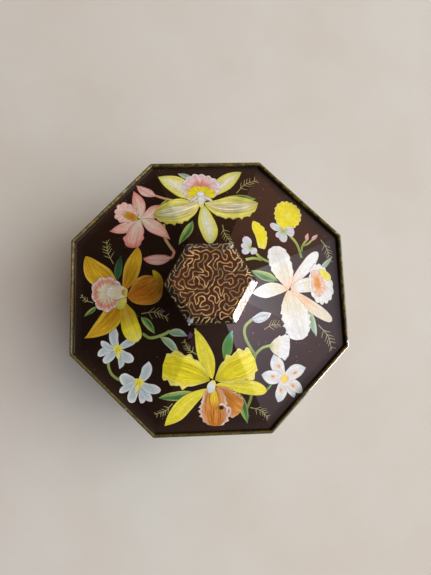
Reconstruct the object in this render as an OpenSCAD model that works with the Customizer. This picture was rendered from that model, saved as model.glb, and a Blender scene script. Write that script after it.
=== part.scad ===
// Octagonal tinplate box with a lift-off lid and a hexagonal knob.
// Origin: centre of the base, on the surface the tin stands on. +Z is up, and flats face +X and +Y.
// Every pressed piece is a path through the middle of its sheet, thickened and carried round a
// polygon with rounded corners. A path point is [apothem, height].

/* [Tin] */
// Width across flats over the rim
across = 150; // [110:1:190]
// Height of the body wall's top edge
wall_h = 72; // [50:1:120]
// Thickness of the tinplate
sheet = 0.3; // [0.25:0.01:0.35]
// Height of a double seam
seam_h = 3.2; // [2.8:0.1:4]

/* [Lid] */
// Height of the lid from its bead to its rim
skirt_h = 17.8; // [16:0.1:26]
// Depth from the rim down to the foot of the roof
countersink = 3.5; // [3.4:0.1:6]
// Height of the crown above the foot of the roof
roof_rise = 21.5; // [16:0.5:30]
// Half of the angle through which the roof's slope bends
roof_bend = 10; // [3:0.5:12]
// Apothem of the flat crown under the knob
crown = 15; // [14.5:0.1:18]

/* [Knob] */
// Height of the knob above the crown
knob_h = 20; // [16:0.5:26]
// Apothem of the knob at its widest
knob_wide = 19.1; // [17:0.1:22]
// Apothem of the knob's flat top
knob_top = 15.7; // [12:0.1:16]
// Drop of the bevel round the knob's top
knob_bevel = 4; // [3:0.1:5]
// Apothem of the foot of the knob's neck
knob_foot = 12.1; // [9:0.1:12.3]

/* [Fastener] */
// Radius of the bolt's shank
bolt_r = 2; // [1.5:0.05:2.2]
// Radius of the bolt's head
head_r = 3.8; // [3.2:0.1:4.5]
// Height of the bolt's head
head_h = 2.4; // [2:0.1:3]
// Radius of the washer
washer_r = 6; // [4.5:0.1:7]
// Thickness of the washer
washer_t = 0.8; // [0.5:0.1:1.2]
// Width of the nut across flats
nut_across = 7; // [6.5:0.1:8]
// Thickness of the nut
nut_t = 3.2; // [2.4:0.1:4]

/* [Hidden] */

octagon = 8;
hexagon = 6;
bend_steps = 5;         // segments in a half-turn bend, odd so that its middle one is level
roof_steps = 10;
corner_turns = [-1, 0, 1];
contact = 0.01;         // air between sheets that lie against each other
layer = sheet + 0.04;   // spacing of the layers in a seam, with a little air between them
level_part = cos(90 / bend_steps); // height of a half-turn bend, as a part of its radius
middle_r = 1;           // apothem of the cap that closes a piece at the axis

// The five layers of a double seam, from the inside out: end wall, wall, end hook, wall hook, end.
rim = across / 2;
end_outside = rim - sheet / 2;
wall_hook = end_outside - layer;
end_hook = wall_hook - layer;
wall = end_hook - layer;
end_wall = wall - layer;
wall_in = wall - sheet / 2;
wall_out = wall + sheet / 2;
seam_bend = 2 * layer * level_part + sheet / 2; // from the rim to the centre of the bend at the rim
hook_bend = seam_h - layer * level_part - sheet / 2; // and to the centre of the bend away from it
hook_stop = 0.2;        // a hook ends this short of the bend that holds it

// Rolled beads on the two edges that meet where the lid lifts off.
bead_r = 0.45;
bead_reach = bead_r * level_part + sheet / 2;
lid_gap = 0.2;
rim_z = wall_h + lid_gap + skirt_h;
crown_z = rim_z - countersink + roof_rise;
knob_z = crown_z + knob_h;

foot_bend = 1;          // bend radius where a panel turns into its end wall
ledge = 2.5;            // level strip round the foot of the roof
roof_foot = end_wall - foot_bend - ledge;

// The collar that stands up inside the lid.
collar_top = wall_h + 9.5;
collar_bottom = wall_h - 10;
collar_low = wall_in - sheet / 2 - contact;
collar_high = collar_low - 0.35;
collar_jog = [wall_h - 1.2, wall_h - 0.2];
collar_bead = 0.4;

base_z = 4.4;           // middle of the base's sheet
base_step = 0.8;        // rise of the stiffened middle of the base
base_step_at = end_wall - 17.5;

lap_w = 5;              // overlap where the ends of a wrapped sheet meet, at the back
lap_clear = 1.4;        // stop of the lap short of the bead

// The knob's cap is curled under a flange at the top of its neck.
cap_side = knob_wide - sheet / 2;
cap_band = 2.2;         // upright part of the cap below its bevel
cap_curl = 0.5;
cap_lip = cap_side - 1.6;
cap_lip_z = knob_z - knob_bevel - cap_band - cap_curl;
neck_bend = 0.5;
neck_top = cap_lip - neck_bend - 0.2;
neck_flange = cap_side - 0.6;
neck_z = crown_z + sheet + contact;

under_crown = crown_z - sheet / 2 - contact;
washer_z = under_crown - washer_t;
nut_z = washer_z - contact - nut_t;
head_z = neck_z + sheet / 2 + contact;
bolt_hole = bolt_r + 0.15;
thread_clear = 0.03;
bolt_spare = 1.3;       // bolt past the nut
slot_w = 1;
slot_d = 1;
bevel = 0.4;            // bevel on the bolt, its head and the nut
through = 1;            // overshoot of a cut

brown = "#3a1d16";
tin = "#c9c3b0";
steel = "#a9adb0";

function unit(v) = v / norm(v);
function left(v) = [-v.y, v.x];

// Points on an arc from p to q that turns through 2 * bend degrees, to the left where bend is positive.
// It leaves out p, so that arcs and straights can be joined.
function arc(p, q, bend, steps = bend_steps) =
    let (r = norm(q - p) / (2 * sin(abs(bend))), side = sign(bend),
         centre = (p + q) / 2 + left(unit(q - p)) * r * cos(bend) * side, from = p - centre)
    [for (i = [1:steps]) let (t = side * 2 * abs(bend) * i / steps)
        centre + [from.x * cos(t) - from.y * sin(t), from.x * sin(t) + from.y * cos(t)]];

// A path moved d to its left, with mitred joints.
function beside(path, d) = let (n = len(path) - 1)
    [for (i = [0:n])
        let (before = left(unit(path[max(i, 1)] - path[max(i, 1) - 1])),
             after = left(unit(path[min(i, n - 1) + 1] - path[min(i, n - 1)])),
             mitre = unit(before + after))
        path[i] + mitre * d / (mitre * before)];

function reversed(list) = [for (i = [len(list) - 1:-1:0]) list[i]];
function upside_down(path, z) = [for (p = path) [p.x, z - p.y]];
function thick(path) = concat(beside(path, sheet / 2), reversed(beside(path, -sheet / 2)));

// Corner radius at apothem a: concentric in the seams and the knob's edge, and small further in.
function octagon_corner(a) = min(a * 0.4, max(0.6, a - rim + 1.8));
function hexagon_corner(a) = min(a * 0.4, max(0.8, a - knob_wide + 1.4));

// One ring of points round a polygon. An octagon has flats on the axes, and a hexagon has corners on X.
function ring(p, sides) =
    let (half = 180 / sides, first = sides == octagon ? half : 0,
         r = sides == octagon ? octagon_corner(p.x) : hexagon_corner(p.x), reach = (p.x - r) / cos(half))
    [for (k = [0:sides - 1], turn = corner_turns)
        let (middle = first + 2 * half * k, a = middle + turn * half)
        [reach * cos(middle) + r * cos(a), reach * sin(middle) + r * sin(a), p.y]];

// Carries the thickened path round a polygon. A path that begins at the axis is closed there.
module pressed(path, sides = octagon) {
    outline = thick(path);
    n = sides * len(corner_turns);
    closed = path[0].x <= middle_r;
    last = len(outline) - 1;
    strips = [for (i = [0:closed ? last - 1 : last], j = [0:n - 1])
        let (a = i * n, b = (i == last ? 0 : i + 1) * n, k = (j + 1) % n) [a + j, a + k, b + k, b + j]];
    caps = closed ? [[for (j = [n - 1:-1:0]) j], [for (j = [0:n - 1]) last * n + j]] : [];
    polyhedron([for (p = outline) each ring(p, sides)], concat(strips, caps));
}

// A wall of height h, hooked into a seam below and rolled outwards into a bead above.
function wall_path(h) =
    let (hook = [wall_hook, seam_bend], foot = [wall, seam_bend], bead_z = h - bead_reach,
         top = [wall, bead_z], over = [wall + 2 * bead_r, bead_z], tuck = [wall + bead_r, bead_z - bead_r])
    concat([[wall_hook, hook_bend - hook_stop], hook], arc(hook, foot, -90), [top],
           arc(top, over, -90), arc(over, tuck, -45, 3));

// An end panel at height z above its rim, seamed round the wall. The path inside the fillet comes first.
function end_path(inside, z) =
    let (fillet = [end_wall - foot_bend, z], drop = [end_wall, z - foot_bend], down = [end_wall, seam_bend],
         outside = [end_outside, seam_bend], up = [end_outside, hook_bend], hook = [end_hook, hook_bend])
    concat(inside, [fillet], arc(fillet, drop, -45, 3), [down], arc(down, outside, 90), [up],
           arc(up, hook, 90), [[end_hook, seam_bend + hook_stop]]);

module lap(bottom, top) {
    translate([-lap_w / 2, wall_out - sheet / 3, bottom])
        cube([lap_w, sheet * 4 / 3, top - bottom]);
}

module body_wall() {
    color(brown) {
        pressed(wall_path(wall_h));
        lap(seam_h + contact, wall_h - lap_clear);
    }
}

module neck_collar() {
    curl_z = collar_top - collar_bead * level_part - sheet / 2;
    up = [collar_high, curl_z];
    stand = [[collar_low, collar_bottom], [collar_low, collar_jog[0]], [collar_high, collar_jog[1]], up];
    color(tin)
        pressed(concat(stand, arc(up, up - [2 * collar_bead, 0], 90)));
}

module base_panel() {
    color(tin)
        pressed(end_path([[middle_r, base_z + base_step], [base_step_at, base_z + base_step],
                          [base_step_at + base_step, base_z]], base_z));
}

module lid_panel() {
    top = [crown, countersink - roof_rise];
    foot = [roof_foot, countersink];
    roof = concat([[middle_r, top.y], top], arc(top, foot, -roof_bend, roof_steps));
    color(brown)
        difference() {
            pressed(upside_down(end_path(roof, countersink), rim_z));
            translate([0, 0, crown_z - through])
                cylinder(h = 2 * through, r = bolt_hole, $fn = 48);
        }
}

module lid_skirt() {
    color(brown) {
        pressed(upside_down(wall_path(skirt_h), rim_z));
        lap(rim_z - skirt_h + lap_clear, rim_z - seam_h - contact);
    }
}

module knob_cap() {
    top_z = knob_z - sheet / 2;
    band = [cap_side, cap_lip_z + cap_curl];
    color(brown)
        pressed(concat([[middle_r, top_z], [knob_top, top_z], [cap_side, knob_z - knob_bevel], band],
                       arc(band, [cap_side - cap_curl, cap_lip_z], -45, 2), [[cap_lip, cap_lip_z]]), hexagon);
}

module knob_neck() {
    flange_z = cap_lip_z + layer;
    color(brown)
        difference() {
            pressed([[middle_r, neck_z], [knob_foot - neck_bend, neck_z], [knob_foot, neck_z + neck_bend],
                     [neck_top, flange_z - neck_bend], [neck_top + neck_bend, flange_z],
                     [neck_flange, flange_z]], hexagon);
            translate([0, 0, neck_z - through])
                cylinder(h = 2 * through, r = bolt_hole, $fn = 48);
        }
}

module knob_bolt() {
    end_z = nut_z - bolt_spare;
    color(steel)
        difference() {
            rotate_extrude($fn = 48)
                polygon([[0, end_z], [bolt_r - bevel, end_z], [bolt_r, end_z + bevel], [bolt_r, head_z],
                         [head_r, head_z], [head_r, head_z + head_h - bevel],
                         [head_r - bevel, head_z + head_h], [0, head_z + head_h]]);
            translate([-head_r - through, -slot_w / 2, head_z + head_h - slot_d])
                cube([2 * (head_r + through), slot_w, slot_d + through]);
        }
}

module knob_washer() {
    color(steel)
        translate([0, 0, washer_z])
            difference() {
                cylinder(h = washer_t, r = washer_r, $fn = 48);
                translate([0, 0, -through])
                    cylinder(h = washer_t + 2 * through, r = bolt_hole, $fn = 48);
            }
}

module knob_nut() {
    corner = nut_across / sqrt(3);
    color(steel)
        translate([0, 0, nut_z])
            difference() {
                intersection() {
                    cylinder(h = nut_t, r = corner, $fn = hexagon);
                    rotate_extrude($fn = 48)
                        polygon([[0, 0], [corner - bevel, 0], [corner, bevel], [corner, nut_t - bevel],
                                 [corner - bevel, nut_t], [0, nut_t]]);
                }
                translate([0, 0, -through])
                    cylinder(h = nut_t + 2 * through, r = bolt_r + thread_clear, $fn = 48);
            }
}

body_wall();
neck_collar();
base_panel();
lid_panel();
lid_skirt();
knob_cap();
knob_neck();
knob_bolt();
knob_washer();
knob_nut();
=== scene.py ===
"""Looks of an octagonal tinplate box with a lift-off lid: lacquered shells, printed flowers and a studio.

Lengths are in millimetres until a mesh is made. A profile point is a complex number, apothem + height * 1j,
and a point in plan is x + y * 1j, so that turning and mirroring are multiplications.
"""

import cmath
import math
import random

import bpy
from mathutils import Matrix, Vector


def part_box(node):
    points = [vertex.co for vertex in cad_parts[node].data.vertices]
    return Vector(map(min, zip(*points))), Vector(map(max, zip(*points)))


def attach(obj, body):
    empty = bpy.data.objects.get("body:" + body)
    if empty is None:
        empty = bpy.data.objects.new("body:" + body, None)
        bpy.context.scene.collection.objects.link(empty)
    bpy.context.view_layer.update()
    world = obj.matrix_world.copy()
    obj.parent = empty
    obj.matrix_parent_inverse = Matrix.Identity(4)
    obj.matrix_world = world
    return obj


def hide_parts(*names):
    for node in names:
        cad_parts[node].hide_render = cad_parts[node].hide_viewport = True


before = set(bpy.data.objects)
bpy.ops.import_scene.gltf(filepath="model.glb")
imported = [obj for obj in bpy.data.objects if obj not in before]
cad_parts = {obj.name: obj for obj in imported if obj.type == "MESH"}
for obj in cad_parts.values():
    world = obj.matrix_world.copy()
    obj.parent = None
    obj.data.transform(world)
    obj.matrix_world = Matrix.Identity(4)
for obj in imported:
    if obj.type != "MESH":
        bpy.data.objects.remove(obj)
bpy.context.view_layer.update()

MM = 0.001
UNIT_SCALE = 1 / MM


def low(node, axis):
    """A node's lowest coordinate on an axis, in millimetres."""
    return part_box(node)[0][axis] * UNIT_SCALE


def high(node, axis):
    """A node's highest coordinate on an axis, in millimetres."""
    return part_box(node)[1][axis] * UNIT_SCALE


# ---------------------------------------------------------------- sizes
X, Y, Z = 0, 1, 2
OCTAGON, HEXAGON = 8, 6
SHEET = 0.3
LAYER = SHEET + 0.04
HALF = SHEET / 2
BEND_STEPS = 10
LEVEL = math.cos(math.radians(18))  # height of the CAD's half-turn bends, as a part of their radius
MIDDLE = 1.0  # apothem of the cap that closes a panel at the axis

RIM = high("lid_panel", X)
SEAM_H = 3.2
END_OUTSIDE = RIM - HALF
WALL_HOOK = END_OUTSIDE - LAYER
END_HOOK = WALL_HOOK - LAYER
WALL = END_HOOK - LAYER
END_WALL = WALL - LAYER
WALL_IN = WALL - HALF
WALL_OUT = WALL + HALF
SEAM_BEND = 2 * LAYER + HALF
HOOK_BEND = SEAM_H - LAYER - HALF
HOOK_STOP = 0.2

BEAD = 0.45
WALL_H = high("body_wall", Z)
LID_Z = low("lid_skirt", Z)
RIM_Z = high("lid_skirt", Z) + LAYER * LEVEL
SKIRT_H = RIM_Z - LID_Z
CROWN_Z = high("lid_panel", Z) - HALF
COUNTERSINK = 3.5
FOOT_Z = RIM_Z - COUNTERSINK
CROWN = 15.0
FOOT_BEND = 1.0
LEDGE = 2.5
RIM_PRINT = 2.2   # the gold on the rim goes this far down its inner wall
ROOF_FOOT = END_WALL - FOOT_BEND - LEDGE
ROOF_BEND = 10

COLLAR_TOP = high("neck_collar", Z)
COLLAR_BOTTOM = low("neck_collar", Z)
COLLAR_LOW = WALL_IN - HALF - 0.01
COLLAR_HIGH = COLLAR_LOW - 0.35
COLLAR_BEAD = 0.4

BASE_Z = 4.4
BASE_STEP = 0.8
BASE_STEP_AT = END_WALL - 17.5

PRINT_ROOM = 0.15  # left between the knob's top and the model's box for the printed lines
KNOB_Z = high("knob_cap", Z) - PRINT_ROOM
KNOB_WIDE = high("knob_cap", Y)
KNOB_FLAT = KNOB_WIDE - 3.4
KNOB_BEVEL = 4.0
CAP_SIDE = KNOB_WIDE - HALF
CAP_BAND = 2.2
CAP_CURL = 0.5
CAP_LIP = CAP_SIDE - 1.6
CAP_LIP_Z = KNOB_Z - KNOB_BEVEL - CAP_BAND - CAP_CURL
NECK_Z = low("knob_neck", Z) + HALF
NECK_FOOT = 12.1
NECK_BEND = 0.5
NECK_TOP = CAP_LIP - NECK_BEND - 0.2
NECK_FLANGE = CAP_SIDE - 0.6


# ---------------------------------------------------------------- colours and materials
COLOUR_A, COLOUR_B, COLOUR_OUT = 6, 7, 2  # the mix node's sockets for colours, which share names with others


def rgb(red, green, blue, alpha=1.0):
    """A display colour, from 0 to 255, as the linear colour that shaders take."""
    def linear(v):
        v /= 255
        return v / 12.92 if v <= 0.04045 else ((v + 0.055) / 1.055) ** 2.4
    return (linear(red), linear(green), linear(blue), alpha)


class Nodes:
    """Short calls for building a tree of shader nodes."""

    def __init__(self, tree):
        self.tree = tree

    def set(self, socket, value):
        """Links a socket to another, or gives it a constant."""
        if isinstance(value, bpy.types.NodeSocket):
            self.tree.links.new(value, socket)
        else:
            socket.default_value = value

    def node(self, kind, inputs=(), **settings):
        made = self.tree.nodes.new(kind)
        for key, value in settings.items():
            setattr(made, key, value)
        for key, value in dict(inputs).items():
            self.set(made.inputs[key], value)
        return made

    def sums(self, operation, a, b):
        return self.node("ShaderNodeMath", {0: a, 1: b}, operation=operation).outputs["Value"]

    def mix(self, amount, a, b, blend="MIX"):
        made = self.node("ShaderNodeMix", {"Factor": amount}, data_type="RGBA", blend_type=blend)
        self.set(made.inputs[COLOUR_A], a)
        self.set(made.inputs[COLOUR_B], b)
        return made.outputs[COLOUR_OUT]


class Material(Nodes):
    """A node material with short calls for the patterns that the pieces share."""

    def __init__(self, name, **values):
        self.made = bpy.data.materials.new(name)
        self.made.use_nodes = True
        super().__init__(self.made.node_tree)
        self.shader = self.tree.nodes["Principled BSDF"]
        self.made.diffuse_color = values.get("base_color", (0.5, 0.5, 0.5, 1))
        for key, value in values.items():
            self.shader.inputs[key.replace("_", " ").title().replace("Ior", "IOR")].default_value = value
        self.where = self.tree.nodes.new("ShaderNodeTexCoord").outputs["Object"]

    def noise(self, size, detail=3.0, roughness=0.5, where=None, distortion=0.0):
        """Cloudy noise whose lumps are about size millimetres across."""
        scale = UNIT_SCALE / size if where is None else 1 / size
        return self.node("ShaderNodeTexNoise", {
            "Vector": where or self.where, "Scale": scale, "Detail": detail,
            "Roughness": roughness, "Distortion": distortion}).outputs["Fac"]

    def stretched(self, x, y, z):
        """Object coordinates stretched along each axis."""
        return self.node("ShaderNodeMapping", {"Vector": self.where, "Scale": (x, y, z)}).outputs["Vector"]

    def span(self, value, start, end, to_start=0.0, to_end=1.0):
        return self.node("ShaderNodeMapRange", {
            "Value": value, "From Min": start, "From Max": end,
            "To Min": to_start, "To Max": to_end}).outputs["Result"]

    def specks(self, size, radius, share):
        """Small round dots, one in some of the cells of the given size, in millimetres."""
        cells = self.node("ShaderNodeTexVoronoi", {"Vector": self.where, "Scale": UNIT_SCALE / size})
        near = self.span(cells.outputs["Distance"], radius / size, radius / size * 0.4)
        tone = self.node("ShaderNodeSeparateColor", {"Color": cells.outputs["Color"]}).outputs["Red"]
        return self.sums("MULTIPLY", near, self.sums("LESS_THAN", tone, share))

    def drive(self, key, value):
        self.tree.links.new(value, self.shader.inputs[key])

    def bump(self, height, depth, strength=1.0):
        """Bumps of the given depth, in millimetres, where height goes from 0 to 1."""
        made = self.node("ShaderNodeBump", {"Height": height, "Strength": strength, "Distance": depth * MM})
        self.drive("Normal", made.outputs["Normal"])


LACQUER = {"coat_weight": 0.8, "coat_roughness": 0.1, "coat_ior": 1.5, "specular_ior_level": 0.15}
DUST = rgb(196, 188, 178)


def wear(paint, colour, amount=1.0):
    """Adds the dust specks and tiny chips that a handled lacquer has."""
    dusty = paint.mix(paint.specks(1.9, 0.2, 0.3 * amount), colour, DUST)
    chipped = paint.mix(paint.specks(7.0, 0.3, 0.12 * amount), dusty, rgb(188, 176, 150))
    return chipped


def ground_material(name, warm, cool, amount=1.0, gloss=0.8):
    """Dark lacquer: warm brown that clouds towards a cooler brown, finely mottled."""
    paint = Material(name, base_color=warm, metallic=0.7, **{**LACQUER, "coat_weight": gloss})
    cloud = paint.span(paint.noise(38, 3), 0.38, 0.62)
    grain = paint.span(paint.noise(0.55, 4, 0.7), 0.3, 0.75)
    colour = paint.mix(cloud, warm, cool)
    colour = paint.mix(paint.sums("MULTIPLY", grain, 0.4), colour, rgb(80, 50, 34))
    paint.drive("Base Color", wear(paint, colour, amount))
    paint.drive("Roughness", paint.span(paint.noise(9, 4, 0.6), 0.3, 0.7, 0.3, 0.55))
    paint.bump(paint.noise(14, 4, 0.55), 0.05)
    return paint.made


def band_material():
    """Worn gold print, patchy with olive, on the inner wall of the rim. It also turns olive and dull towards
    the front left as painted shade, and stays gold and metallic towards the back right, where the light is.
    """
    paint = Material("gold_band", **LACQUER)
    place = paint.node("ShaderNodeSeparateXYZ", {"Vector": paint.where}).outputs
    # Painted light and shade: gold towards the back right, olive towards the front left; the noise patches
    # are wear.
    toward_back = paint.sums("ADD", place["Y"], paint.sums("MULTIPLY", place["X"], 0.5))
    painted_shade_front_left = paint.span(toward_back, 0.03, -0.06, 0.0, 0.75)
    wear_and_painted_shade = paint.sums("MAXIMUM", painted_shade_front_left, paint.span(paint.noise(5, 5, 0.75), 0.4, 0.58))
    fleck = paint.span(paint.noise(0.9, 3, 0.7), 0.4, 0.56)
    colour = paint.mix(wear_and_painted_shade, rgb(190, 156, 56), rgb(60, 68, 36))
    colour = paint.mix(paint.sums("MULTIPLY", fleck, 0.8), colour, rgb(46, 44, 24))
    paint.drive("Base Color", wear(paint, colour))
    paint.drive("Metallic", paint.span(wear_and_painted_shade, 0, 1, 0.55, 0.05))
    paint.drive("Roughness", paint.span(fleck, 0, 1, 0.3, 0.5))
    paint.bump(paint.noise(5, 3), 0.03)
    return paint.made


def line_material():
    """The dark green outer line of the rim, thin at the top where the tin shows through."""
    paint = Material("rim_line", **{**LACQUER, "coat_weight": 1.0, "coat_ior": 1.9})
    colour = paint.mix(paint.span(paint.noise(4, 4, 0.7), 0.35, 0.65), rgb(30, 38, 24), rgb(64, 70, 40))
    chips = paint.span(paint.noise(3.1, 5, 0.8), 0.66, 0.7)
    paint.drive("Base Color", paint.mix(chips, colour, rgb(168, 160, 128)))
    paint.drive("Metallic", paint.sums("MULTIPLY", chips, 0.8))
    paint.drive("Roughness", paint.span(paint.noise(2, 3), 0.3, 0.7, 0.25, 0.45))
    paint.bump(paint.noise(3, 3), 0.02)
    return paint.made


def inside_material():
    """Gold lacquer over tinplate, as inside a food tin."""
    paint = Material("gold_lacquer", metallic=0.75, coat_weight=0.6, coat_roughness=0.12)
    cloud = paint.span(paint.noise(22, 4, 0.6), 0.35, 0.65)
    drawn = paint.noise(3, 3, 0.6, paint.stretched(1, 1, 0.08))
    colour = paint.mix(cloud, rgb(196, 164, 104), rgb(170, 138, 84))
    colour = paint.mix(paint.specks(3.5, 0.25, 0.2), colour, rgb(96, 70, 44))
    paint.drive("Base Color", colour)
    paint.drive("Roughness", paint.span(drawn, 0.3, 0.7, 0.28, 0.5))
    paint.bump(drawn, 0.02)
    return paint.made


def tinplate_material():
    """Bare tinplate: bright, faintly streaked by rolling, with a little rust."""
    paint = Material("bare_tinplate", metallic=1.0)
    roll = paint.noise(0.8, 3, 0.6, paint.stretched(UNIT_SCALE, UNIT_SCALE / 60, UNIT_SCALE))
    rust = paint.span(paint.noise(7, 6, 0.7), 0.66, 0.76)
    colour = paint.mix(paint.span(roll, 0.3, 0.7), rgb(194, 192, 186), rgb(182, 180, 174))
    paint.drive("Base Color", paint.mix(rust, colour, rgb(122, 82, 52)))
    paint.drive("Metallic", paint.span(rust, 0, 1, 1, 0.1))
    paint.drive("Roughness", paint.sums("ADD", paint.span(roll, 0.3, 0.7, 0.24, 0.4),
                                        paint.sums("MULTIPLY", rust, 0.4)))
    paint.bump(paint.noise(9, 5, 0.6), 0.05)
    return paint.made


def zinc_material():
    """Zinc-plated steel with a turned finish."""
    paint = Material("zinc_steel", metallic=1.0)
    turned = paint.noise(0.5, 3, 0.6, paint.stretched(UNIT_SCALE * 0.2, UNIT_SCALE * 0.2, UNIT_SCALE * 4))
    stain = paint.span(paint.noise(1.8, 4), 0.4, 0.7)
    paint.drive("Base Color", paint.mix(stain, rgb(184, 186, 188), rgb(150, 148, 140)))
    paint.drive("Roughness", paint.span(turned, 0.3, 0.7, 0.25, 0.45))
    paint.bump(turned, 0.02)
    return paint.made


def print_material():
    """Printed colours under lacquer. The tint's alpha says how strongly a petal is veined."""
    paint = Material("flower_print", **LACQUER)
    tint = paint.node("ShaderNodeAttribute", attribute_name="Tint")
    plan = paint.node("ShaderNodeUVMap", uv_map="Petal").outputs["UV"]
    along = paint.node("ShaderNodeMapping", {"Vector": plan, "Scale": (1.2, 11, 1)}).outputs["Vector"]
    vein = paint.span(paint.noise(1, 2, 0.5, along), 0.4, 0.75, 0.0, 0.8)
    vein = paint.sums("MULTIPLY", vein, tint.outputs["Alpha"])
    deep = paint.mix(1.0, tint.outputs["Color"], rgb(184, 156, 104), "MULTIPLY")
    colour = paint.mix(vein, tint.outputs["Color"], deep)
    brushed = paint.node("ShaderNodeMapping", {"Vector": plan, "Scale": (2.2, 5, 1)}).outputs["Vector"]
    brush = paint.span(paint.noise(1, 3, 0.6, brushed), 0.5, 0.72, 0.0, 0.55)
    bright = paint.mix(1.0, tint.outputs["Color"], (1.5, 1.45, 1.6, 1), "MULTIPLY")
    colour = paint.mix(paint.sums("MULTIPLY", brush, tint.outputs["Alpha"]), colour, bright)
    cloud = paint.span(paint.noise(4, 4, 0.6), 0.35, 0.7, 0.0, 0.35)
    colour = paint.mix(cloud, colour, paint.mix(1.0, tint.outputs["Color"], rgb(214, 214, 206), "MULTIPLY"))
    daub = paint.span(paint.noise(1.5, 4, 0.65), 0.5, 0.68, 0.0, 0.6)
    colour = paint.mix(daub, colour, paint.mix(1.0, colour, (1.15, 1.2, 1.35, 1), "MULTIPLY"))
    wash = paint.span(paint.noise(2.6, 4, 0.7), 0.5, 0.7, 0.0, 0.4)
    colour = paint.mix(wash, colour, paint.mix(1.0, colour, rgb(214, 226, 196), "MULTIPLY"))
    paint.drive("Base Color", wear(paint, colour, 0.5))
    paint.drive("Roughness", paint.span(paint.noise(3, 3), 0.3, 0.7, 0.32, 0.5))
    paint.bump(paint.noise(14, 4, 0.55), 0.05)
    return paint.made


def gilt_material():
    """Fine gold line printed on the knob."""
    paint = Material("gold_line", **LACQUER)
    pale = paint.span(paint.noise(1.6, 4, 0.7), 0.4, 0.66)
    worn = paint.span(paint.noise(6, 3, 0.6), 0.42, 0.6, 0.0, 0.8)
    gold = paint.mix(pale, rgb(196, 140, 70), rgb(236, 210, 150))
    paint.drive("Base Color", paint.mix(worn, gold, rgb(98, 94, 60)))
    paint.drive("Metallic", paint.span(pale, 0, 1, 0.5, 0.1))
    paint.drive("Roughness", paint.span(paint.noise(0.8, 2), 0.3, 0.7, 0.3, 0.5))
    return paint.made


def chip_and_glint_material():
    """Bare tin where the lacquer has chipped off, pale and bluish. On the knob's corners these chips also
    stand in for glints of light, a painted highlight.
    """
    paint = Material("worn_metal_and_glints", metallic=0.7)
    dull = paint.span(paint.noise(1.2, 4, 0.7), 0.4, 0.65)
    paint.drive("Base Color", paint.mix(dull, rgb(214, 220, 228), rgb(120, 118, 116)))
    paint.drive("Roughness", paint.span(dull, 0, 1, 0.35, 0.6))
    paint.bump(paint.noise(0.6, 3), 0.02)
    return paint.made


def floor_material():
    """A plain pale table top."""
    paint = Material("floor", base_color=rgb(214, 206, 192), specular_ior_level=0.0)
    cloud = paint.span(paint.noise(70, 3), 0.35, 0.65)
    paint.drive("Base Color", paint.mix(cloud, rgb(204, 203, 192), rgb(201, 197, 184)))
    paint.drive("Roughness", paint.span(paint.noise(12, 4), 0.3, 0.7, 0.6, 0.75))
    paint.bump(paint.noise(1.5, 3), 0.02)
    return paint.made


# ---------------------------------------------------------------- shells
def arc(start, end, bend, steps=BEND_STEPS):
    """Points on an arc from start to end that turns through 2 * bend degrees, leaving out start."""
    half = math.radians(abs(bend))
    side = 1 if bend > 0 else -1
    chord = end - start
    radius = abs(chord) / (2 * math.sin(half))
    centre = (start + end) / 2 + 1j * chord / abs(chord) * radius * math.cos(half) * side
    turns = [side * 2 * half * i / steps for i in range(1, steps + 1)]
    return [centre + (start - centre) * cmath.exp(1j * turn) for turn in turns]


def beside(path, distance):
    """A path moved to its left, with mitred joints."""
    lefts = [1j * (b - a) / abs(b - a) for a, b in zip(path, path[1:])]
    moved = []
    for point, before, after in zip(path, lefts[:1] + lefts, lefts + lefts[-1:]):
        mitre = (before + after) / abs(before + after)
        moved.append(point + mitre * distance / (mitre.conjugate() * before).real)
    return moved


def upside_down(path, height):
    return [complex(p.real, height - p.imag) for p in path]


def octagon_corner(apothem):
    return min(apothem * 0.4, max(0.6, apothem - RIM + 1.8))


def hexagon_corner(apothem):
    return min(apothem * 0.4, max(0.8, apothem - KNOB_WIDE + 1.4))


CORNER_STEPS = 5
FOLD_ANGLE = 38       # folds sharper than this, in degrees, show as an edge
NO_FOLDS = 180
FACET_WEIGHT = 80     # how strongly large facets flatten the shading beside them


def ring(apothem, sides):
    """Points in plan round a polygon with rounded corners."""
    half = math.pi / sides
    first = half if sides == OCTAGON else 0
    radius = octagon_corner(apothem) if sides == OCTAGON else hexagon_corner(apothem)
    reach = (apothem - radius) / math.cos(half)
    points = []
    for k in range(sides):
        middle = first + 2 * half * k
        for i in range(CORNER_STEPS + 1):
            turn = (2 * i / CORNER_STEPS - 1) * half
            points.append(cmath.rect(reach, middle) + cmath.rect(radius, middle + turn))
    return points


def mesh_object(name, points, faces, slots, indices, smooth=FOLD_ANGLE):
    """A mesh piece from points in millimetres."""
    mesh = bpy.data.meshes.new(name)
    mesh.from_pydata([[c * MM for c in p] for p in points], [], faces)
    for material in slots:
        mesh.materials.append(material)
    mesh.polygons.foreach_set("material_index", indices)
    mesh.polygons.foreach_set("use_smooth", [True] * len(faces))
    mesh.set_sharp_from_angle(angle=math.radians(smooth))
    made = bpy.data.objects.new(name, mesh)
    bpy.context.scene.collection.objects.link(made)
    return made


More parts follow.
